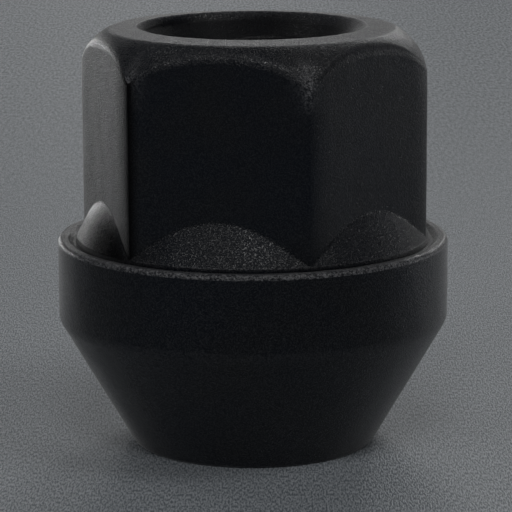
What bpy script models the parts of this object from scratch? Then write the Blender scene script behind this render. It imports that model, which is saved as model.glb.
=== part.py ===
"""Wheel lug nut: forged steel, open at both ends, with a hexagon, a round flange and a 60 degree seat cone.

The nut stands on its small end. Its thread axis is +Z, its origin is the centre of the small end's face,
and one wrench flat faces -Y. Every size is set in the values below, in metres.
"""

import math

import bmesh
import bpy
from mathutils import Matrix, Vector

MM = 0.001

# Bore: cut to the minor diameter of a metric thread, with a lead-in and a wide countersink at the top
THREAD_MAJOR_DIAMETER = 12.0 * MM
THREAD_PITCH = 1.5 * MM
MINOR_DROP_PER_PITCH = 1.0825
LEAD_IN_CLEARANCE = 0.12 * MM
LEAD_IN_SLOPE = math.radians(45.0)
TOP_COUNTERSINK_WIDTH = 1.0 * MM
TOP_COUNTERSINK_SLOPE = math.radians(31.0)
BOTTOM_COUNTERSINK_WIDTH = 0.45 * MM
BOTTOM_COUNTERSINK_SLOPE = math.radians(45.0)

# Hexagon that the wrench turns
HEX_SIDES = 6
ACROSS_FLATS = 19.0 * MM
HEX_CORNER_RADIUS = 1.0 * MM
HEX_CORNER_SEGMENTS = 7

# Domed top: a flat ring round the bore, then an arc of revolution that ends upright beside the corners
TOTAL_HEIGHT = 25.8 * MM
TOP_RING_WIDTH = 1.85 * MM
TOP_RING_EDGE_RADIUS = 0.6 * MM
DOME_START_SLOPE = math.radians(28.0)
DOME_OVERHANG = 0.2 * MM

# Flare: a cone at the foot of the hexagon, which meets each flat in an arch
FLARE_SLOPE_FROM_UPRIGHT = math.radians(29.2)
FLARE_FOOT_RISE = 0.1 * MM
FLARE_OVERHANG = 0.05 * MM

# Flange: a narrow groove round the flare, a flat ledge and an upright side
GROOVE_DEPTH = 0.3 * MM
GROOVE_FLOOR_WIDTH = 0.25 * MM
LEDGE_WIDTH = 0.63 * MM
FLANGE_RIM_RADIUS = 0.35 * MM
FLANGE_SIDE_HEIGHT = 5.0 * MM

# Seat cone and small end
SEAT_HALF_ANGLE = math.radians(30.0)
SEAT_CORNER_RADIUS = 1.2 * MM
SMALL_END_RING_WIDTH = 1.05 * MM
SMALL_END_EDGE_RADIUS = 0.25 * MM

# How far cutters run past the faces that they cut, and how far the flare runs on inside the hexagon
OVERRUN = 2.0 * MM

# Fineness of the turned surfaces
TURN_STEPS = 96
ROUNDING_STEP = math.radians(10.0)
DOME_STEP = math.radians(6.0)
MERGE_DISTANCE = 0.000001
SHARP_EDGE_ANGLE = math.radians(24.0)

# Black coating over the steel
COATING_COLOUR = (0.012, 0.013, 0.016, 1.0)
COATING_ROUGHNESS = 0.55
COATING_METALLIC = 0.35

# Sizes that follow from those above
MINOR_RADIUS = (THREAD_MAJOR_DIAMETER - MINOR_DROP_PER_PITCH * THREAD_PITCH) / 2
LEAD_IN_RADIUS = THREAD_MAJOR_DIAMETER / 2 + LEAD_IN_CLEARANCE
TOP_MOUTH_RADIUS = THREAD_MAJOR_DIAMETER / 2 + TOP_COUNTERSINK_WIDTH
BOTTOM_MOUTH_RADIUS = THREAD_MAJOR_DIAMETER / 2 + BOTTOM_COUNTERSINK_WIDTH
HALF_SECTOR = math.pi / HEX_SIDES
FLAT_DISTANCE = ACROSS_FLATS / 2
SHARP_CORNER_DISTANCE = FLAT_DISTANCE / math.cos(HALF_SECTOR)
CORNER_DISTANCE = SHARP_CORNER_DISTANCE - HEX_CORNER_RADIUS * (1 / math.cos(HALF_SECTOR) - 1)
TOP_RING_RADIUS = TOP_MOUTH_RADIUS + TOP_RING_WIDTH
FLARE_FOOT_RADIUS = CORNER_DISTANCE + FLARE_OVERHANG
GROOVE_OUTER_RADIUS = FLARE_FOOT_RADIUS + GROOVE_FLOOR_WIDTH
LEDGE_INNER_RADIUS = GROOVE_OUTER_RADIUS + GROOVE_DEPTH
FLANGE_RADIUS = LEDGE_INNER_RADIUS + LEDGE_WIDTH
SMALL_END_RADIUS = BOTTOM_MOUTH_RADIUS + SMALL_END_RING_WIDTH
SEAT_HEIGHT = (FLANGE_RADIUS - SMALL_END_RADIUS) / math.tan(SEAT_HALF_ANGLE)
LEDGE_HEIGHT = SEAT_HEIGHT + FLANGE_SIDE_HEIGHT


def clear_scene():
    """Remove the objects that the scene starts with."""
    for thing in list(bpy.data.objects):
        bpy.data.objects.remove(thing, do_unlink=True)


def new_collection(name):
    """Make a collection in the scene."""
    collection = bpy.data.collections.new(name)
    bpy.context.scene.collection.children.link(collection)
    return collection


def coating_material():
    """Black coating over steel."""
    material = bpy.data.materials.new("black_coated_steel")
    material.use_nodes = True
    shader = material.node_tree.nodes["Principled BSDF"]
    shader.inputs["Base Color"].default_value = COATING_COLOUR
    shader.inputs["Roughness"].default_value = COATING_ROUGHNESS
    shader.inputs["Metallic"].default_value = COATING_METALLIC
    return material


def arc(centre, radius, start, end, step):
    """Points of an arc in the (radius, height) plane, with angles from +Z towards +X."""
    count = max(1, math.ceil(abs(end - start) / step))
    angles = [start + (end - start) * i / count for i in range(count + 1)]
    return [(centre[0] + radius * math.sin(a), centre[1] + radius * math.cos(a)) for a in angles]


def rounded(before, corner, after, radius):
    """Arc of the given radius that rounds a convex corner of an outline running down its outer side."""
    corner = Vector(corner)
    to_before = (Vector(before) - corner).normalized()
    to_after = (Vector(after) - corner).normalized()
    half_opening = to_before.angle(to_after) / 2
    centre = corner + (to_before + to_after).normalized() * radius / math.sin(half_opening)
    start = corner + to_before * radius / math.tan(half_opening) - centre
    start_angle = math.atan2(start.x, start.y)
    return arc(centre, radius, start_angle, start_angle + math.pi - 2 * half_opening, ROUNDING_STEP)


def turned_solid(name, outline, collection):
    """Spin an outline of (radius, height) points, which starts and ends on the axis, into a closed solid."""
    mesh = bpy.data.meshes.new(name)
    edges = [(i, i + 1) for i in range(len(outline) - 1)]
    mesh.from_pydata([(r, 0.0, z) for r, z in outline], edges, [])
    solid = bpy.data.objects.new(name, mesh)
    collection.objects.link(solid)
    screw = solid.modifiers.new("spin", "SCREW")
    screw.axis = "Z"
    screw.angle = math.tau
    screw.steps = TURN_STEPS
    screw.render_steps = TURN_STEPS
    screw.use_merge_vertices = True
    screw.merge_threshold = MERGE_DISTANCE
    screw.use_smooth_shade = True
    solid.hide_render = True
    solid.display_type = "WIRE"
    return solid


def hexagon_bar(name, bottom, top, collection):
    """Upright hexagonal bar with rounded corners and one flat towards -Y."""
    height = top - bottom
    shape = bmesh.new()
    bmesh.ops.create_cone(
        shape,
        cap_ends=True,
        segments=HEX_SIDES,
        radius1=SHARP_CORNER_DISTANCE,
        radius2=SHARP_CORNER_DISTANCE,
        depth=height,
    )
    shape.verts.ensure_lookup_table()
    first_corner = shape.verts[0].co
    corner_to_x = Matrix.Rotation(-math.atan2(first_corner.y, first_corner.x), 4, "Z")
    bmesh.ops.transform(
        shape,
        matrix=Matrix.Translation((0.0, 0.0, bottom + height / 2)) @ corner_to_x,
        verts=shape.verts,
    )
    weights = shape.edges.layers.float.new("bevel_weight_edge")
    for edge in shape.edges:
        low, high = edge.verts
        edge[weights] = 1.0 if abs(low.co.z - high.co.z) > height / 2 else 0.0
    mesh = bpy.data.meshes.new(name)
    shape.to_mesh(mesh)
    shape.free()
    bar = bpy.data.objects.new(name, mesh)
    collection.objects.link(bar)
    bevel = bar.modifiers.new("rounded_corners", "BEVEL")
    bevel.limit_method = "WEIGHT"
    bevel.offset_type = "OFFSET"
    bevel.width = HEX_CORNER_RADIUS * math.tan(HALF_SECTOR)
    bevel.segments = HEX_CORNER_SEGMENTS
    return bar


def dome_outline(bottom):
    """Flat top ring, its rounded edge, and the arc that ends upright just outside the hexagon's corners."""
    widest = CORNER_DISTANCE + DOME_OVERHANG
    dome_radius = (widest - TOP_RING_RADIUS) / (1 - math.sin(DOME_START_SLOPE))
    edge_centre_r = TOP_RING_RADIUS - TOP_RING_EDGE_RADIUS * math.sin(DOME_START_SLOPE)
    edge_centre_z = TOTAL_HEIGHT - TOP_RING_EDGE_RADIUS
    edge_end_z = edge_centre_z + TOP_RING_EDGE_RADIUS * math.cos(DOME_START_SLOPE)
    dome_centre = (widest - dome_radius, edge_end_z - dome_radius * math.cos(DOME_START_SLOPE))
    ring_edge = arc((edge_centre_r, edge_centre_z), TOP_RING_EDGE_RADIUS, 0.0, DOME_START_SLOPE, ROUNDING_STEP)
    dome = arc(dome_centre, dome_radius, DOME_START_SLOPE, math.pi / 2, DOME_STEP)
    return [(0.0, TOTAL_HEIGHT)] + ring_edge + dome[1:] + [(widest, bottom), (0.0, bottom)]


def flange_and_seat_outline():
    """Flare, groove, ledge, flange side, seat cone and small end, from top to bottom."""
    foot_z = LEDGE_HEIGHT + FLARE_FOOT_RISE
    arch_top_z = foot_z + (FLARE_FOOT_RADIUS - FLAT_DISTANCE) / math.tan(FLARE_SLOPE_FROM_UPRIGHT)
    buried_z = arch_top_z + OVERRUN
    buried_r = FLAT_DISTANCE - OVERRUN * math.tan(FLARE_SLOPE_FROM_UPRIGHT)
    groove_z = LEDGE_HEIGHT - GROOVE_DEPTH
    ledge_start = (LEDGE_INNER_RADIUS, LEDGE_HEIGHT)
    rim = (FLANGE_RADIUS, LEDGE_HEIGHT)
    seat_top = (FLANGE_RADIUS, SEAT_HEIGHT)
    seat_end = (SMALL_END_RADIUS, 0.0)
    axis_end = (0.0, 0.0)
    outline = [(0.0, buried_z), (buried_r, buried_z), (FLARE_FOOT_RADIUS, foot_z)]
    outline += [(FLARE_FOOT_RADIUS, groove_z), (GROOVE_OUTER_RADIUS, groove_z), ledge_start]
    outline += rounded(ledge_start, rim, seat_top, FLANGE_RIM_RADIUS)
    outline += rounded(rim, seat_top, seat_end, SEAT_CORNER_RADIUS)
    outline += rounded(seat_top, seat_end, axis_end, SMALL_END_EDGE_RADIUS)
    return outline + [axis_end]


def bore_outline():
    """Hole at the thread's minor diameter, opening through its countersinks, from top to bottom."""
    top_slope = math.tan(TOP_COUNTERSINK_SLOPE)
    bottom_slope = math.tan(BOTTOM_COUNTERSINK_SLOPE)
    lead_in_z = TOTAL_HEIGHT - (TOP_MOUTH_RADIUS - LEAD_IN_RADIUS) * top_slope
    thread_top_z = lead_in_z - (LEAD_IN_RADIUS - MINOR_RADIUS) * math.tan(LEAD_IN_SLOPE)
    thread_bottom_z = (BOTTOM_MOUTH_RADIUS - MINOR_RADIUS) * bottom_slope
    return [
        (0.0, TOTAL_HEIGHT + OVERRUN),
        (TOP_MOUTH_RADIUS + OVERRUN / top_slope, TOTAL_HEIGHT + OVERRUN),
        (LEAD_IN_RADIUS, lead_in_z),
        (MINOR_RADIUS, thread_top_z),
        (MINOR_RADIUS, thread_bottom_z),
        (BOTTOM_MOUTH_RADIUS + OVERRUN / bottom_slope, -OVERRUN),
        (0.0, -OVERRUN),
    ]


def add_boolean(body, name, operation, other):
    """Add an exact Boolean with another solid."""
    boolean = body.modifiers.new(name, "BOOLEAN")
    boolean.operation = operation
    boolean.solver = "EXACT"
    boolean.object = other


def settle_shape(body, material):
    """Keep the finished shape as one mesh, shaded smooth with crisp edges."""
    depsgraph = bpy.context.evaluated_depsgraph_get()
    shape = bpy.data.meshes.new_from_object(body.evaluated_get(depsgraph))
    body.modifiers.clear()
    body.data = shape
    shape.shade_smooth()
    shape.set_sharp_from_angle(angle=SHARP_EDGE_ANGLE)
    shape.materials.clear()
    shape.materials.append(material)


def build_lug_nut():
    """One forging: the domed hexagon, joined to the flange and seat, then bored through."""
    parts = new_collection("lug_nut")
    cutters = new_collection("cutters")
    nut = hexagon_bar("lug_nut", SEAT_HEIGHT, TOTAL_HEIGHT + OVERRUN, parts)
    dome = turned_solid("dome_envelope", dome_outline(SEAT_HEIGHT - OVERRUN), cutters)
    base = turned_solid("flange_and_seat", flange_and_seat_outline(), cutters)
    bore = turned_solid("threaded_bore", bore_outline(), cutters)
    add_boolean(nut, "domed_top", "INTERSECT", dome)
    add_boolean(nut, "join_flange", "UNION", base)
    add_boolean(nut, "bore", "DIFFERENCE", bore)
    settle_shape(nut, coating_material())


clear_scene()
build_lug_nut()
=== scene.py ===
"""Studio view of a black coated wheel lug nut: its finished surface, its coating, the floor and the lights.

Lengths are in millimetres, and turned into metres where a mesh, a light, a camera or a texture is made.
The nut's axis is +Z, and azimuths run from the front flat (-Y) towards +X. It stands on its small end, at
the origin.
"""

import math

import bpy
import numpy as np
from mathutils import Matrix, Vector


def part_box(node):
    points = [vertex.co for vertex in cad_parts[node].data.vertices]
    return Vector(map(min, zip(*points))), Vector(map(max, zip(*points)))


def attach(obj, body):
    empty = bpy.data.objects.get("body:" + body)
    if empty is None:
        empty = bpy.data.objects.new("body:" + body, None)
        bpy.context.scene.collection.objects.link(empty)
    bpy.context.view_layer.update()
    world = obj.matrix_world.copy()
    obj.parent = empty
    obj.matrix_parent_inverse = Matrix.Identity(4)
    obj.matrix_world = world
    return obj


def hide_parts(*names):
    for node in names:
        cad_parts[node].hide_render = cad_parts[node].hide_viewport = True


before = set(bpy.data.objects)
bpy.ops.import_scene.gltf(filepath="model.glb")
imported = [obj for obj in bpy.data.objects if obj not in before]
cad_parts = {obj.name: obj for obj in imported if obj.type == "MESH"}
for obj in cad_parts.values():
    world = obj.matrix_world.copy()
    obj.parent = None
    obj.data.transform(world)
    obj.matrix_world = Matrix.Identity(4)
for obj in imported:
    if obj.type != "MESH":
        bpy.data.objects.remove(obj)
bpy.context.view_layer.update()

MM = 0.001
NODE = "lug_nut"
BODY = "root"

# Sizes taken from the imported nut
LOW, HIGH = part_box(NODE)
TOTAL_HEIGHT = HIGH.z / MM
FLANGE_RADIUS = (HIGH.y - LOW.y) / 2 / MM

# Thread: the widths of its root and flanks are shares of its pitch, and its run-in starts below the top
THREAD_MAJOR_RADIUS = 6.0
THREAD_PITCH = 1.5
THREAD_DEPTH = 0.54125 * THREAD_PITCH
THREAD_ROOT_HALF_WIDTH = 1 / 16
THREAD_FLANK_WIDTH = 5 / 16
THREAD_RUN_IN_START = 1.3
THREAD_RUN_IN_LENGTH = 0.7

# Helical rows of the bore's wall: their start below the top, and their pitch where they level out at the ends
HELIX_START_DEPTH = 0.66
HELIX_TOP_PITCH = 0.42
HELIX_BOTTOM_PITCH = 0.28
THREAD_PHASES = (0.0, 0.12, 0.15, 0.29, 0.42, 0.46, 0.54, 0.58, 0.71, 0.85, 0.88)

# Bore's shade: full down to one depth below the top, gone at another
SHADE_FULL_DEPTH = 2.0
SHADE_END_DEPTH = 4.0

# Countersinks and lead-in
LEAD_IN_RADIUS = 6.12
LEAD_IN_SLOPE = math.radians(45.0)
TOP_MOUTH_RADIUS = 7.0
TOP_COUNTERSINK_SLOPE = math.radians(31.0)
COUNTERSINK_DEPTH = (TOP_MOUTH_RADIUS - LEAD_IN_RADIUS) * math.tan(TOP_COUNTERSINK_SLOPE)
MOUTH_LIFT = 0.07
MOUTH_HEIGHT = TOTAL_HEIGHT + MOUTH_LIFT
COUNTERSINK_SHALLOW_RUN = 1 / math.tan(TOP_COUNTERSINK_SLOPE)
COUNTERSINK_STEEP_RUN = 0.25
COUNTERSINK_SHALLOW_AZIMUTH = math.radians(102.0)
MOUTH_INSIDE_DEPTH = 0.12
BOTTOM_MOUTH_RADIUS = 6.45
BOTTOM_COUNTERSINK_SLOPE = math.radians(45.0)
BOTTOM_INSIDE_HEIGHT = 0.1

# Hexagon
HEX_SIDES = 6
HALF_SECTOR = math.pi / HEX_SIDES
FLAT_DISTANCE = 9.5
HEX_CORNER_RADIUS = 1.0
CORNER_EASE_RADIUS = 12.0
CORNER_EASE_POWER = 4
CORNER_DISTANCE = (FLAT_DISTANCE - HEX_CORNER_RADIUS) / math.cos(HALF_SECTOR) + HEX_CORNER_RADIUS

# Domed top
TOP_RING_RADIUS = 8.85
TOP_RING_EDGE_RADIUS = 0.6
TOP_RING_CROWN = 0.06
DOME_START_SLOPE = math.radians(28.0)
DOME_OVERHANG = 0.2

# Flare at the foot of the hexagon, groove and ledge
FLARE_SLOPE_FROM_UPRIGHT = math.radians(29.2)
FLARE_FOOT_CLEARANCE = 0.05
FLARE_FOOT_RADIUS = CORNER_DISTANCE + FLARE_FOOT_CLEARANCE
FLARE_FOOT_RISE = 0.1
GROOVE_DEPTH = 0.3
GROOVE_FLOOR_WIDTH = 0.25

# Flange, seat cone and small end
FLANGE_SIDE_HEIGHT = 5.0
SEAT_HALF_ANGLE = math.radians(30.0)
SMALL_END_RADIUS = 7.5
SEAT_HEIGHT = (FLANGE_RADIUS - SMALL_END_RADIUS) / math.tan(SEAT_HALF_ANGLE)
LEDGE_HEIGHT = SEAT_HEIGHT + FLANGE_SIDE_HEIGHT

# Roundings of the forged and turned edges, and the largest share of a side that one takes up
ARCH_ROUNDING = 0.9
FLARE_FILLET = 0.4
FOOT_ROUNDING = 0.08
GROOVE_FILLET = 0.1
LEDGE_ROUNDING = 0.1
RIM_ROUNDING = 0.35
SEAT_CORNER_ROUNDING = 1.2
SMALL_END_ROUNDING = 0.25
MOUTH_ROUNDING = 0.1
ROUNDING_SHARE = 0.45

# Fineness of the mesh
FLAT_COLUMNS = 13
CORNER_COLUMNS = 7
CORNER_FINENESS = 20
ROUNDING_STEPS = 5
MOUTH_STEPS = 3
RING_STEPS = 7
DOME_STEPS = 14

# Unevenness of the forged surface, as waves with lengths spread round the given one
WAVES = 36
WAVE_SPREAD = (0.7, 1.5)
FORGED_WAVE_LENGTH = 2.6
FORGED_WAVE_HEIGHT = 0.006
FORGED_SEED = 3
NICK_WAVE_LENGTH = 1.1
NICK_HEIGHT = 0.014
NICK_SEED = 5

# Wear of the turned and forged edges, and how grainy the coating is, from 0 to 1
MOUTH_WEAR = 0.7
RING_WEAR = 0.7
RING_EDGE_WEAR = 0.5
ARCH_WEAR = 0.12
RING_GRAIN = 1.0
USUAL_GRAIN = 0.5
FLANGE_GRAIN = 0.15
HEXAGON_GRAIN = 0.0

# Worn spots at the tops of the six corners
CORNER_SPOT_LIFT = 0.3
CORNER_SPOT_REACH = 1.8
CORNER_SPOT_WEAR = 1.2
CORNER_SPOT_POWER = 9

# The flat whose coating is the grainiest
GRAINY_FLAT_AZIMUTH = math.radians(-60.0)
GRAINY_FLAT_FADE = math.radians(4.0)
GRAINY_FLAT_RISE = 2.0

# Painted shade, a darker colour with less shine: the foot of the grainy flat, and the band beside its front
# corner
SHADED_FOOT_START = math.radians(-92.0)
SHADED_FOOT_END = math.radians(-28.0)
SHADED_FOOT_FADE = 0.4
SHADED_FOOT_STRENGTH = 1.9
SHADED_BAND_START = math.radians(-50.0)
SHADED_BAND_FULL = math.radians(-36.0)
SHADED_BAND_END = math.radians(-27.0)
SHADED_BAND_FADE = math.radians(3.0)
SHADED_BAND_STRENGTH = 1.9
NEAR_SIDE = 0.05

# Coating: colours, sizes of its noises and heights of its relief
COATING_BLUE = (0.002, 0.005, 0.012)
COATING_GREY = (0.006, 0.007, 0.010)
BRIGHT_GRAIN = (0.05, 0.05, 0.052)
WORN_STEEL = (0.26, 0.26, 0.27)
# Colour that the coating turns to where shade is painted
PAINTED_SHADE_COLOUR = (0.003, 0.003, 0.004)
PATCH_SIZE = 5.0
GRAIN_SIZE = 0.085
WEAR_SPOT_SIZE = 0.15
GLOSS_SPOT_SIZE = 0.25
PEEL_SIZE = 0.7
GRAIN_RELIEF = 0.007
PEEL_RELIEF = 0.010
SHEEN = 0.6
SHEEN_ROUGHNESS = 0.33

# Floor: colours, sizes of its grain, and the distances in metres over which the fine grain turns coarse
BOARD_DARK = (0.19, 0.22, 0.245)
BOARD_LIGHT = (0.57, 0.60, 0.64)
FLOOR_HALF_WIDTH = 2000.0
FINE_GRAIN_SIZE = 0.10
COARSE_GRAIN_SIZE = 0.30
COARSE_GRAIN_START = 0.03
COARSE_GRAIN_FULL = 0.20
FLOOR_RELIEF = 0.05
FLOOR_ROUGHNESS = 0.5
FLOOR_SHINE = 0.35
FIBRE_AZIMUTH = math.radians(12.121)
FIBRE_STRETCH = 4.5

# Camera, fitted to the photograph
CAMERA_AZIMUTH = math.radians(12.121)
CAMERA_ELEVATION = math.radians(12.162)
CAMERA_DISTANCE = 165.04
CAMERA_AIM_HEIGHT = 11.462
CAMERA_AIM_ASIDE = 0.183
CAMERA_ROLL = math.radians(-0.269)
CAMERA_LENS = 187.05
SENSOR_WIDTH = 36.0
CAMERA_CLIP_START = 10.0

# Soft boxes: power for each square metre at a brightness of 1
BOX_POWER = 4.0

# Room round the lit floor
ROOM_COLOUR = (0.75, 0.85, 1.0, 1.0)
ROOM_STRENGTH = 0.01


def hexagon_columns():
    """Azimuths and radii of the mesh's columns all the way round, closer together round the six corners.

    Each corner turns slowly where it leaves the flat and faster at its tip, and its tip keeps its distance.
    """
    count = CORNER_COLUMNS * CORNER_FINENESS
    turn = (np.arange(count) + 0.5) / count
    sideways = np.cos(HALF_SECTOR * turn) * HALF_SECTOR / count
    inward = np.sin(HALF_SECTOR * turn) * HALF_SECTOR / count
    easing = (1 - turn) ** CORNER_EASE_POWER
    full_drop = inward.sum()
    eased_drop = (easing * inward).sum()
    tip_radius = (HEX_CORNER_RADIUS * full_drop - CORNER_EASE_RADIUS * eased_drop) / (full_drop - eased_drop)
    bend = tip_radius + (CORNER_EASE_RADIUS - tip_radius) * easing
    along = np.concatenate([[0.0], np.cumsum(bend * sideways)])
    drop = np.concatenate([[0.0], np.cumsum(bend * inward)])
    tip_outward = FLAT_DISTANCE - drop[-1]
    across = tip_outward * math.tan(HALF_SECTOR) - along[-1] + along[::CORNER_FINENESS]
    outward = FLAT_DISTANCE - drop[::CORNER_FINENESS]
    on_flat = np.linspace(0.0, across[0], FLAT_COLUMNS + 1)[:-1]
    across = np.concatenate([on_flat, across])
    outward = np.concatenate([np.full(FLAT_COLUMNS, FLAT_DISTANCE), outward])
    azimuth = np.arctan2(across, outward)
    radius = np.hypot(across, outward)
    sector_azimuth = np.concatenate([azimuth, 2 * HALF_SECTOR - azimuth[-2:0:-1]])
    sector_radius = np.concatenate([radius, radius[-2:0:-1]])
    azimuths = np.concatenate([sector_azimuth + 2 * HALF_SECTOR * side for side in range(HEX_SIDES)])
    return azimuths, np.tile(sector_radius, HEX_SIDES)


def arc_rows(centre_r, centre_z, radius, start, end, steps):
    """Rows of points along an arc, with angles from +Z outwards. Values may differ from column to column."""
    share = np.linspace(0.0, 1.0, steps + 1)[:, None]
    angle = start + (end - start) * share
    r, z = np.broadcast_arrays(centre_r + radius * np.sin(angle), centre_z + radius * np.cos(angle))
    return np.stack([r, z], axis=-1)


def eased_rows(start, end, steps):
    """Rows along a straight stretch, closer together at its ends, without the end rows themselves."""
    share = (1.0 - np.cos(np.pi * np.arange(1, steps) / steps))[:, None, None] / 2
    return start + (end - start) * share


def rounded_corner(before, corner, after, radius, steps):
    """Rows round a corner of the outline, by an arc that touches both of its sides."""
    to_before = before - corner
    to_after = after - corner
    reach = np.minimum(np.linalg.norm(to_before, axis=-1), np.linalg.norm(to_after, axis=-1))
    to_before = to_before / np.linalg.norm(to_before, axis=-1, keepdims=True)
    to_after = to_after / np.linalg.norm(to_after, axis=-1, keepdims=True)
    half_opening = np.arccos(np.clip((to_before * to_after).sum(-1), -1.0, 1.0)) / 2
    radius = np.minimum(radius, ROUNDING_SHARE * reach * np.tan(half_opening))
    bisector = to_before + to_after
    bisector = bisector / np.linalg.norm(bisector, axis=-1, keepdims=True)
    centre = corner + bisector * (radius / np.sin(half_opening))[:, None]
    first = corner + to_before * (radius / np.tan(half_opening))[:, None] - centre
    last = corner + to_after * (radius / np.tan(half_opening))[:, None] - centre
    sweep = np.pi - 2 * half_opening
    rows = []
    for share in np.linspace(0.0, 1.0, steps + 1):
        weight_first = np.sin((1 - share) * sweep) / np.sin(sweep)
        weight_last = np.sin(share * sweep) / np.sin(sweep)
        rows.append(centre + first * weight_first[:, None] + last * weight_last[:, None])
    return np.array(rows)


def bore_limit(z, azimuths):
    """Radius of the countersinks and lead-in: the bore is nowhere narrower than this.

    The top countersink is turned a little off centre, so it is steep on one side and shallow on the other.
    """
    share = (1 + np.cos(azimuths - COUNTERSINK_SHALLOW_AZIMUTH)) / 2
    run = COUNTERSINK_STEEP_RUN + (COUNTERSINK_SHALLOW_RUN - COUNTERSINK_STEEP_RUN) * share
    lead_in_z = MOUTH_HEIGHT - COUNTERSINK_DEPTH
    countersink = TOP_MOUTH_RADIUS + (z - MOUTH_HEIGHT) * run
    lead_in = TOP_MOUTH_RADIUS - COUNTERSINK_DEPTH * run + (z - lead_in_z) / math.tan(LEAD_IN_SLOPE)
    bottom = BOTTOM_MOUTH_RADIUS - z / math.tan(BOTTOM_COUNTERSINK_SLOPE)
    return np.maximum(np.where(z > lead_in_z, countersink, lead_in), bottom)


class Outline:
    """Collects the rows of the nut's section, and how worn, how much painted shade and how grainy each is."""

    def __init__(self):
        self.rows = []
        self.edge = []
        self.painted_shade = []
        self.grain = []

    def add(self, rows, edge=0.0, painted_shade=0.0, grain=USUAL_GRAIN):
        self.rows.append(rows)
        self.edge += [edge] * len(rows)
        self.painted_shade += [painted_shade] * len(rows)
        self.grain += [grain] * len(rows)


def column_points(r, z, count):
    """One point of the section, repeated for every column where it is the same all round."""
    return np.stack([np.broadcast_to(r, count), np.broadcast_to(z, count)], axis=-1).astype(float)


def top_rows(outline, azimuths, side):
    """From inside the mouth over the crowned ring and the dome to the top of the hexagon's sides."""
    count = len(side)
    inside_z = MOUTH_HEIGHT - MOUTH_INSIDE_DEPTH
    inside_mouth = column_points(bore_limit(inside_z, azimuths), inside_z, count)
    mouth = column_points(TOP_MOUTH_RADIUS, MOUTH_HEIGHT, count)
    edge_centre_r = TOP_RING_RADIUS - TOP_RING_EDGE_RADIUS * math.sin(DOME_START_SLOPE)
    ring_end_z = TOTAL_HEIGHT - TOP_RING_CROWN
    ring_end = column_points(edge_centre_r, ring_end_z, count)
    outline.add(inside_mouth[None])
    rounding = rounded_corner(inside_mouth, mouth, ring_end, MOUTH_ROUNDING, MOUTH_STEPS)
    outline.add(rounding, edge=MOUTH_WEAR)
    outline.add(eased_rows(rounding[-1], ring_end, RING_STEPS), edge=RING_WEAR, grain=RING_GRAIN)
    edge_r = np.full(count, edge_centre_r)
    edge_centre_z = ring_end_z - TOP_RING_EDGE_RADIUS
    ring_edge = arc_rows(edge_r, edge_centre_z, TOP_RING_EDGE_RADIUS, 0.0, DOME_START_SLOPE, ROUNDING_STEPS)
    outline.add(ring_edge, edge=RING_EDGE_WEAR)
    widest = CORNER_DISTANCE + DOME_OVERHANG
    dome_radius = (widest - TOP_RING_RADIUS) / (1 - math.sin(DOME_START_SLOPE))
    dome_r = widest - dome_radius
    dome_z = edge_centre_z + (TOP_RING_EDGE_RADIUS - dome_radius) * math.cos(DOME_START_SLOPE)
    blend_r = side - ARCH_ROUNDING
    blend_rise = np.sqrt((dome_radius - ARCH_ROUNDING) ** 2 - (blend_r - dome_r) ** 2)
    blend_start = np.arctan2(blend_r - dome_r, blend_rise)
    dome = arc_rows(np.full(count, dome_r), dome_z, dome_radius, DOME_START_SLOPE, blend_start, DOME_STEPS)
    outline.add(dome[1:-1])
    blend = arc_rows(blend_r, dome_z + blend_rise, ARCH_ROUNDING, blend_start, math.pi / 2, ROUNDING_STEPS)
    outline.add(blend, edge=ARCH_WEAR)
    return blend[-1]


def lower_rows(outline, azimuths, side, side_top):
    """From the top of the hexagon's sides down to the inside of the small end.

    Each corner of the section has a rounding, the steps of the straight stretch above it, its wear, how much
    shade is painted on it, and its grain.
    """
    count = len(side)
    foot_z = LEDGE_HEIGHT + FLARE_FOOT_RISE
    groove_z = LEDGE_HEIGHT - GROOVE_DEPTH
    groove_outer = FLARE_FOOT_RADIUS + GROOVE_FLOOR_WIDTH
    ledge_inner = groove_outer + GROOVE_DEPTH
    arch_z = foot_z + (FLARE_FOOT_RADIUS - side) / math.tan(FLARE_SLOPE_FROM_UPRIGHT)
    corners = [
        # The fifth number is painted shade: full in the groove, a little in the flare's fillet and at the
        # ledge's inner corner
        (column_points(side, arch_z, count), FLARE_FILLET, 24, 0.0, 0.15, USUAL_GRAIN),
        (column_points(FLARE_FOOT_RADIUS, foot_z, count), FOOT_ROUNDING, 9, 0.35, 0.0, USUAL_GRAIN),
        (column_points(FLARE_FOOT_RADIUS, groove_z, count), GROOVE_FILLET, 2, 0.0, 1.0, USUAL_GRAIN),
        (column_points(groove_outer, groove_z, count), GROOVE_FILLET, 1, 0.0, 1.0, USUAL_GRAIN),
        (column_points(ledge_inner, LEDGE_HEIGHT, count), LEDGE_ROUNDING, 2, 0.2, 0.2, USUAL_GRAIN),
        (column_points(FLANGE_RADIUS, LEDGE_HEIGHT, count), RIM_ROUNDING, 3, 1.0, 0.0, USUAL_GRAIN),
        (column_points(FLANGE_RADIUS, SEAT_HEIGHT, count), SEAT_CORNER_ROUNDING, 18, 0.1, 0.0, FLANGE_GRAIN),
        (column_points(SMALL_END_RADIUS, 0.0, count), SMALL_END_ROUNDING, 24, 0.5, 0.0, FLANGE_GRAIN),
        (column_points(BOTTOM_MOUTH_RADIUS, 0.0, count), MOUTH_ROUNDING, 4, 0.5, 0.0, FLANGE_GRAIN),
    ]
    end = column_points(bore_limit(BOTTOM_INSIDE_HEIGHT, azimuths), BOTTOM_INSIDE_HEIGHT, count)
    last = side_top
    for i, (corner, radius, steps, edge, painted_shade, grain) in enumerate(corners):
        before = corners[i - 1][0] if i else side_top
        after = corners[i + 1][0] if i + 1 < len(corners) else end
        rounding = rounded_corner(before, corner, after, radius, ROUNDING_STEPS)
        outline.add(eased_rows(last, rounding[0], steps), grain=grain if i else HEXAGON_GRAIN)
        outline.add(rounding, edge, painted_shade, grain)
        last = rounding[-1]
    outline.add(end[None])


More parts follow.
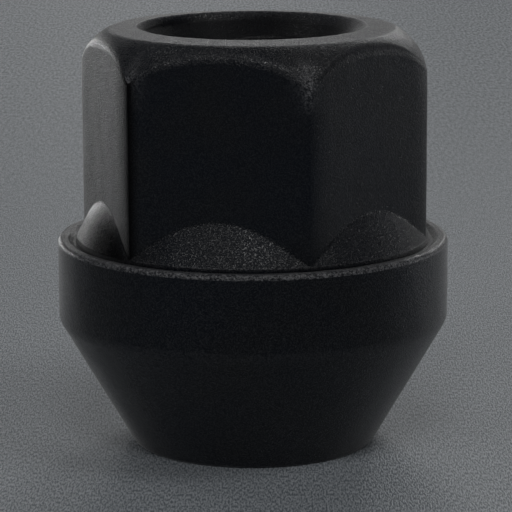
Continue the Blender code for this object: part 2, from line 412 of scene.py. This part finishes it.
def thread_rows(azimuths):
    """Helical rows of the bore's wall from top to bottom: radius, height and how shaded each point is."""
    start_z = TOTAL_HEIGHT - HELIX_START_DEPTH
    end_z = BOTTOM_MOUTH_RADIUS - THREAD_MAJOR_RADIUS
    turns = (start_z - end_z) / THREAD_PITCH
    phases = len(THREAD_PHASES)
    count = math.ceil((turns + 1) * phases) + 1
    row = np.arange(count)
    along = row // phases + np.array(THREAD_PHASES)[row % phases]
    along = along[:, None] - azimuths[None, :] / math.tau
    z = start_z - THREAD_PITCH * along
    z = np.where(along < 0, start_z - HELIX_TOP_PITCH * along, z)
    z = np.where(along > turns, end_z - HELIX_BOTTOM_PITCH * (along - turns), z)
    from_root = np.abs(along % 1.0 - 0.5)
    cut = 1.0 - np.clip((from_root - THREAD_ROOT_HALF_WIDTH) / THREAD_FLANK_WIDTH, 0.0, 1.0)
    below_top = TOTAL_HEIGHT - z
    cut = cut * np.clip((below_top - THREAD_RUN_IN_START) / THREAD_RUN_IN_LENGTH, 0.0, 1.0)
    radius = THREAD_MAJOR_RADIUS - THREAD_DEPTH * (1.0 - cut)
    shade = np.clip((SHADE_END_DEPTH - below_top) / (SHADE_END_DEPTH - SHADE_FULL_DEPTH), 0.0, 1.0)
    return np.maximum(radius, bore_limit(z, azimuths)), z, np.maximum(cut, shade)


def grid_faces(rows, columns):
    """Quads between the rows of a closed grid."""
    faces = []
    for j in range(rows - 1):
        for i in range(columns):
            k = (i + 1) % columns
            faces.append((j * columns + i, (j + 1) * columns + i, (j + 1) * columns + k, j * columns + k))
    return faces


def bore_faces(first, rows, columns, top, bottom):
    """Faces of the helical rows. Each row rises by a thread in a turn, and joins the row that much above."""
    phases = len(THREAD_PHASES)

    def at(row, column):
        if column == columns:
            return first + (row - phases) * columns
        return first + row * columns + column

    faces = []
    for j in range(rows - 1):
        for i in range(columns):
            if i < columns - 1 or j >= phases:
                faces.append((at(j, i), at(j + 1, i), at(j + 1, i + 1), at(j, i + 1)))
    last = columns - 1
    for i in range(last):
        faces.append((top + i, at(0, i), at(0, i + 1), top + i + 1))
        faces.append((at(rows - 1, i), bottom + i, bottom + i + 1, at(rows - 1, i + 1)))
    faces.append((top + last, at(0, last), top))
    for j in range(phases):
        faces.append((top, at(j, last), at(j + 1, last)))
        k = rows - 1 - phases + j
        faces.append((bottom + last, at(k + 1, 0), at(k, 0)))
    faces.append((top, at(phases, last), at(0, 0)))
    faces.append((at(rows - 1, last), bottom + last, at(rows - 1 - phases, 0)))
    faces.append((bottom + last, bottom, at(rows - 1, 0)))
    return faces


def ripple(points, wave_length, seed):
    """Smooth random height between about -1 and 1 at each point, from waves that run in all directions."""
    chance = np.random.default_rng(seed)
    direction = chance.normal(size=(WAVES, 3))
    direction /= np.linalg.norm(direction, axis=1, keepdims=True)
    scale = chance.uniform(*WAVE_SPREAD, WAVES)
    offset = chance.uniform(0.0, math.tau, WAVES)
    waves = direction * (math.tau / wave_length * scale)[:, None]
    return np.sin(points @ waves.T + offset).sum(axis=-1) / math.sqrt(WAVES)


def grid_normals(points):
    """Outward unit normals of a closed grid of points."""
    down = np.gradient(points, axis=0)
    along = np.roll(points, -1, axis=1) - np.roll(points, 1, axis=1)
    normal = np.cross(down, along)
    return normal / np.linalg.norm(normal, axis=-1, keepdims=True)


def to_space(radius, z, azimuths):
    """Points in space from radius, height and azimuth."""
    return np.stack([radius * np.sin(azimuths), -radius * np.cos(azimuths), z], axis=-1)


def painted_shade_places(section, side, azimuths):
    """How much shade is painted at the foot of the grainy flat and beside its front corner: a darker colour
    and less shine.
    """
    signed = np.angle(np.exp(1j * azimuths))
    above_ledge = section[..., 1] > LEDGE_HEIGHT
    outside_hexagon = section[..., 0] - side
    at_foot = (signed > SHADED_FOOT_START) & (signed < SHADED_FOOT_END)
    foot = SHADED_FOOT_STRENGTH * at_foot * above_ledge * np.clip(outside_hexagon / SHADED_FOOT_FADE, 0.0, 1.0)
    rise = (signed - SHADED_BAND_START) / (SHADED_BAND_FULL - SHADED_BAND_START)
    fall = (SHADED_BAND_END - signed) / SHADED_BAND_FADE
    on_side = above_ledge * (np.abs(outside_hexagon) < NEAR_SIDE)
    band = SHADED_BAND_STRENGTH * on_side * np.clip(np.minimum(rise, fall), 0.0, 1.0)
    return np.maximum(foot, band)


def corner_spots(section, side, side_top):
    """How worn the coating is at the tops of the six corners."""
    corner = (side - FLAT_DISTANCE) / (side.max() - FLAT_DISTANCE)
    from_spot = np.abs(side_top[:, 1].min() + CORNER_SPOT_LIFT - section[..., 1])
    reach = np.clip(1.0 - from_spot / CORNER_SPOT_REACH, 0.0, 1.0)
    return CORNER_SPOT_WEAR * corner**CORNER_SPOT_POWER * reach


def grainy_flat(section, side, azimuths):
    """How grainy the coating is on the grainiest flat."""
    away = np.abs(np.angle(np.exp(1j * (azimuths - GRAINY_FLAT_AZIMUTH))))
    on_flat = np.clip((HALF_SECTOR - away) / GRAINY_FLAT_FADE, 0.0, 1.0)
    on_hexagon = np.clip((section[..., 1] - LEDGE_HEIGHT) / GRAINY_FLAT_RISE, 0.0, 1.0)
    return on_flat * on_hexagon * (section[..., 0] < side + NEAR_SIDE)


def every_column(values, azimuths):
    """One value for each row, repeated for every column."""
    return np.repeat(np.array(values)[:, None], len(azimuths), axis=1)


def uneven_height(points, edge):
    """Height of the waves and nicks at each point, with none at the bore's ends and the small end."""
    height = FORGED_WAVE_HEIGHT * ripple(points, FORGED_WAVE_LENGTH, FORGED_SEED)
    height = height - NICK_HEIGHT * edge * np.clip(ripple(points, NICK_WAVE_LENGTH, NICK_SEED), 0.0, None)
    height[0] = 0.0
    height[-1] = 0.0
    height[points[..., 2] < SMALL_END_ROUNDING] = 0.0
    return height


def nut_mesh():
    """The whole nut as one closed mesh, with its edges, painted shade and grain marked for the coating."""
    azimuths, side = hexagon_columns()
    outline = Outline()
    side_top = top_rows(outline, azimuths, side)
    lower_rows(outline, azimuths, side, side_top)
    section = np.concatenate(outline.rows)
    points = to_space(section[..., 0], section[..., 1], azimuths)
    edge = np.maximum(every_column(outline.edge, azimuths), corner_spots(section, side, side_top))
    painted_shade = np.maximum(every_column(outline.painted_shade, azimuths), painted_shade_places(section, side, azimuths))
    grain = np.maximum(every_column(outline.grain, azimuths), grainy_flat(section, side, azimuths))
    points = points + grid_normals(points) * uneven_height(points, edge)[..., None]
    rows, columns = points.shape[:2]
    radius, z, shade = thread_rows(azimuths)
    bore = to_space(radius, z, azimuths)
    vertices = np.concatenate([points.reshape(-1, 3), bore.reshape(-1, 3)]) * MM
    faces = grid_faces(rows, columns)
    faces += bore_faces(rows * columns, len(bore), columns, 0, (rows - 1) * columns)
    # The outer rows run down the outside, and the bore's rows down the inside, so the bore is turned over
    outer_count = (rows - 1) * columns
    faces = faces[:outer_count] + [tuple(reversed(face)) for face in faces[outer_count:]]
    mesh = bpy.data.meshes.new("nut_surface")
    mesh.from_pydata(vertices.tolist(), [], faces)
    mesh.shade_smooth()
    for name, values in (("edge", edge), ("painted_shade", painted_shade), ("grain", grain)):
        # The bore's painted shade, in its thread roots and near its top
        bore_values = shade if name == "painted_shade" else np.zeros(bore.shape[:2])
        both = np.concatenate([values.ravel(), bore_values.ravel()]).astype(np.float32)
        mesh.attributes.new(name, "FLOAT", "POINT").data.foreach_set("value", both)
    return mesh


def add_camera():
    """The photograph's viewpoint."""
    back = Vector(
        (
            math.sin(CAMERA_AZIMUTH) * math.cos(CAMERA_ELEVATION),
            -math.cos(CAMERA_AZIMUTH) * math.cos(CAMERA_ELEVATION),
            math.sin(CAMERA_ELEVATION),
        )
    )
    right = Vector((math.cos(CAMERA_AZIMUTH), math.sin(CAMERA_AZIMUTH), 0.0))
    up = back.cross(right)
    aim = Vector((0.0, 0.0, CAMERA_AIM_HEIGHT)) + right * CAMERA_AIM_ASIDE
    place = (aim + back * CAMERA_DISTANCE) * MM
    level = Matrix((right, up, back)).transposed().to_4x4()
    data = bpy.data.cameras.new("camera")
    data.lens = CAMERA_LENS
    data.sensor_width = SENSOR_WIDTH
    data.clip_start = CAMERA_CLIP_START * MM
    camera = bpy.data.objects.new("camera", data)
    bpy.context.scene.collection.objects.link(camera)
    camera.matrix_world = Matrix.Translation(place) @ level @ Matrix.Rotation(CAMERA_ROLL, 4, "Z")
    bpy.context.scene.camera = camera


def add_light(name, azimuth, elevation, distance, width, height, brightness):
    """A soft box that looks at the nut's middle. Azimuths are in degrees, from the camera to its right."""
    turn = CAMERA_AZIMUTH + math.radians(azimuth)
    rise = math.radians(elevation)
    way = Vector((math.sin(turn) * math.cos(rise), -math.cos(turn) * math.cos(rise), math.sin(rise)))
    data = bpy.data.lights.new(name, "AREA")
    data.shape = "RECTANGLE"
    data.size = width * MM
    data.size_y = height * MM
    data.energy = BOX_POWER * brightness * data.size * data.size_y
    light = bpy.data.objects.new(name, data)
    bpy.context.scene.collection.objects.link(light)
    light.location = (way * distance + Vector((0.0, 0.0, TOTAL_HEIGHT / 2))) * MM
    light.rotation_euler = way.to_track_quat("Z", "Y").to_euler()
    light.visible_camera = False


def add_lights():
    """Soft boxes: dim ones in front and on the left, a low one on the right, and bright ones behind."""
    add_light("key_left", -42, 33, 450, 190, 95, 1.85)
    add_light("fill_right", 60, 56, 450, 140, 150, 2.2)
    add_light("front_high", 0, 52, 450, 150, 90, 3.8)
    add_light("side_left", -123, 57, 450, 200, 160, 0.5)
    add_light("rear_high", 167, 35, 600, 250, 150, 1.4)
    add_light("rear_left_low", -153, 1.0, 700, 300, 62, 8.5)
    add_light("rear_left", -161, 9, 700, 160, 110, 0.3)
    add_light("rear_middle", -177.0, 16, 700, 150, 200, 1.15)
    add_light("rear_right_tall", 164, 16, 700, 80, 160, 4.1)
    add_light("rear_right", 154, 9, 700, 160, 110, 0.7)
    add_light("right_low", 122, 4, 600, 200, 80, 3.0)


def add_world():
    """A dim room round the lit floor."""
    world = bpy.data.worlds.new("room")
    bpy.context.scene.world = world
    world.use_nodes = True
    background = world.node_tree.nodes["Background"]
    background.inputs["Color"].default_value = ROOM_COLOUR
    background.inputs["Strength"].default_value = ROOM_STRENGTH


class Nodes:
    """Short ways to add and join the nodes of one material."""

    def __init__(self, name):
        self.material = bpy.data.materials.new(name)
        self.material.use_nodes = True
        self.tree = self.material.node_tree
        self.shader = self.tree.nodes["Principled BSDF"]
        coordinates = self.tree.nodes.new("ShaderNodeTexCoord")
        self.place = coordinates.outputs["Object"]

    def link(self, source, target):
        self.tree.links.new(source, target)

    def noise(self, size, detail=2.0, roughness=0.5, place=None):
        """Noise whose features are about the given size in millimetres."""
        node = self.tree.nodes.new("ShaderNodeTexNoise")
        node.inputs["Scale"].default_value = 1.0 / (size * MM)
        node.inputs["Detail"].default_value = detail
        node.inputs["Roughness"].default_value = roughness
        self.link(place or self.place, node.inputs["Vector"])
        return node.outputs["Fac"]

    def ramp(self, value, low, high, to_low=0.0, to_high=1.0):
        """Map a value from low..high to another range, held at its ends."""
        node = self.tree.nodes.new("ShaderNodeMapRange")
        self.link(value, node.inputs["Value"])
        node.inputs["From Min"].default_value = low
        node.inputs["From Max"].default_value = high
        node.inputs["To Min"].default_value = to_low
        node.inputs["To Max"].default_value = to_high
        return node.outputs["Result"]

    def math(self, operation, first, second):
        """A sum, difference or product of two values, either of which may be a number."""
        node = self.tree.nodes.new("ShaderNodeMath")
        node.operation = operation
        for socket, value in zip(node.inputs, (first, second)):
            if isinstance(value, (int, float)):
                socket.default_value = value
            else:
                self.link(value, socket)
        return node.outputs["Value"]

    def mix(self, share, first, second):
        """Mix two colours, each a colour or another node's output."""
        node = self.tree.nodes.new("ShaderNodeMix")
        node.data_type = "RGBA"
        self.link(share, node.inputs["Factor"])
        for socket, value in ((node.inputs[6], first), (node.inputs[7], second)):
            if isinstance(value, tuple):
                socket.default_value = (*value, 1.0)
            else:
                self.link(value, socket)
        return node.outputs[2]

    def stretched(self, azimuth, factor):
        """Coordinates that stretch a texture along the line of an azimuth."""
        node = self.tree.nodes.new("ShaderNodeMapping")
        node.vector_type = "TEXTURE"
        node.inputs["Rotation"].default_value = (0.0, 0.0, azimuth)
        node.inputs["Scale"].default_value = (1.0, factor, 1.0)
        self.link(self.place, node.inputs["Vector"])
        return node.outputs["Vector"]

    def distance(self):
        """Distance from the object's own origin, in metres."""
        node = self.tree.nodes.new("ShaderNodeVectorMath")
        node.operation = "LENGTH"
        self.link(self.place, node.inputs[0])
        return node.outputs["Value"]

    def attribute(self, name):
        """A value stored on the mesh."""
        node = self.tree.nodes.new("ShaderNodeAttribute")
        node.attribute_name = name
        return node.outputs["Fac"]

    def bump(self, height, depth, normal=None):
        """Raise the surface by a value times a depth in millimetres."""
        node = self.tree.nodes.new("ShaderNodeBump")
        node.inputs["Strength"].default_value = 1.0
        node.inputs["Distance"].default_value = depth * MM
        self.link(height, node.inputs["Height"])
        if normal is not None:
            self.link(normal, node.inputs["Normal"])
        return node.outputs["Normal"]


def coating_material():
    """Black coating on forged steel: fine bright speckle, uneven gloss, worn edges, and painted shade in its
    hollows and at the grainy flat's foot and front corner.
    """
    nodes = Nodes("black_coating")
    grains = nodes.ramp(nodes.noise(GRAIN_SIZE, 1.0, 0.6), 0.42, 0.66)
    grainy = nodes.attribute("grain")
    painted_shade = nodes.attribute("painted_shade")
    wear = nodes.ramp(nodes.noise(WEAR_SPOT_SIZE, 3.0, 0.8), 0.44, 0.62)
    wear = nodes.math("MULTIPLY", nodes.attribute("edge"), wear)

    colour = nodes.mix(nodes.ramp(nodes.noise(PATCH_SIZE, 3.0), 0.35, 0.65), COATING_BLUE, COATING_GREY)
    share = nodes.math("MULTIPLY", grains, nodes.ramp(grainy, 0.0, 1.0, 0.08, 0.6))
    colour = nodes.mix(share, colour, BRIGHT_GRAIN)
    colour = nodes.mix(wear, colour, WORN_STEEL)
    # Painted shade: the colour turns dark in the grooves, the bore, at the grainy flat's foot and beside its
    # front corner
    colour = nodes.mix(nodes.math("MULTIPLY", painted_shade, 0.8), colour, PAINTED_SHADE_COLOUR)
    nodes.link(colour, nodes.shader.inputs["Base Color"])

    rough = nodes.ramp(nodes.noise(GLOSS_SPOT_SIZE, 3.0, 0.6), 0.3, 0.7, 0.37, 0.49)
    rough = nodes.math("ADD", rough, nodes.math("MULTIPLY", grainy, 0.08))
    smoother = nodes.math("MULTIPLY", grains, nodes.ramp(grainy, 0.0, 1.0, 0.16, 0.36))
    nodes.link(nodes.math("SUBTRACT", rough, smoother), nodes.shader.inputs["Roughness"])

    shine_gain = nodes.math("MULTIPLY", grains, nodes.ramp(grainy, 0.0, 1.0, 0.40, 0.95))
    shine = nodes.math("ADD", nodes.ramp(grainy, 0.0, 1.0, 0.35, 0.04), shine_gain)
    # The painted shade also lowers the shine, towards none where it is strongest
    shine = nodes.math("MULTIPLY", shine, nodes.ramp(painted_shade, 0.0, 2.0, 1.0, 0.0))
    nodes.link(shine, nodes.shader.inputs["Specular IOR Level"])

    raised = nodes.math("MULTIPLY", grains, nodes.ramp(grainy, 0.0, 1.0, 1.0, 2.5))
    fine = nodes.bump(raised, GRAIN_RELIEF)
    peel = nodes.bump(nodes.noise(PEEL_SIZE, 2.0), PEEL_RELIEF, fine)
    nodes.link(peel, nodes.shader.inputs["Normal"])

    nodes.shader.inputs["Metallic"].default_value = 0.0
    nodes.shader.inputs["Sheen Weight"].default_value = SHEEN
    nodes.shader.inputs["Sheen Roughness"].default_value = SHEEN_ROUGHNESS
    return nodes.material


def floor_material():
    """Pale blue-grey board. Its fibres run one way, and its grain is coarser far from the nut."""
    nodes = Nodes("pale_board")
    fibres = nodes.stretched(FIBRE_AZIMUTH, FIBRE_STRETCH)
    fine = nodes.noise(FINE_GRAIN_SIZE, 1.0, 0.6, fibres)
    coarse = nodes.noise(COARSE_GRAIN_SIZE, 2.0, 0.7, fibres)
    away = nodes.ramp(nodes.distance(), COARSE_GRAIN_START, COARSE_GRAIN_FULL)
    grain = nodes.mix(away, fine, coarse)
    colour = nodes.mix(nodes.ramp(grain, 0.38, 0.62), BOARD_DARK, BOARD_LIGHT)
    nodes.link(colour, nodes.shader.inputs["Base Color"])
    nodes.link(nodes.bump(grain, FLOOR_RELIEF), nodes.shader.inputs["Normal"])
    nodes.shader.inputs["Roughness"].default_value = FLOOR_ROUGHNESS
    nodes.shader.inputs["Specular IOR Level"].default_value = FLOOR_SHINE
    return nodes.material


def add_floor():
    """A wide floor that runs on behind the nut."""
    half = FLOOR_HALF_WIDTH * MM
    mesh = bpy.data.meshes.new("floor")
    corners = [(-half, -half, 0.0), (half, -half, 0.0), (half, half, 0.0), (-half, half, 0.0)]
    mesh.from_pydata(corners, [], [(0, 1, 2, 3)])
    floor = bpy.data.objects.new("floor", mesh)
    bpy.context.scene.collection.objects.link(floor)
    floor.data.materials.append(floor_material())


def add_nut():
    """The finished nut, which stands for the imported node."""
    nut = bpy.data.objects.new("nut_surface", nut_mesh())
    bpy.context.scene.collection.objects.link(nut)
    nut.data.materials.append(coating_material())
    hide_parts(NODE)
    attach(nut, BODY)


bpy.context.scene.view_settings.view_transform = "Standard"
add_camera()
add_nut()
add_floor()
add_lights()
add_world()
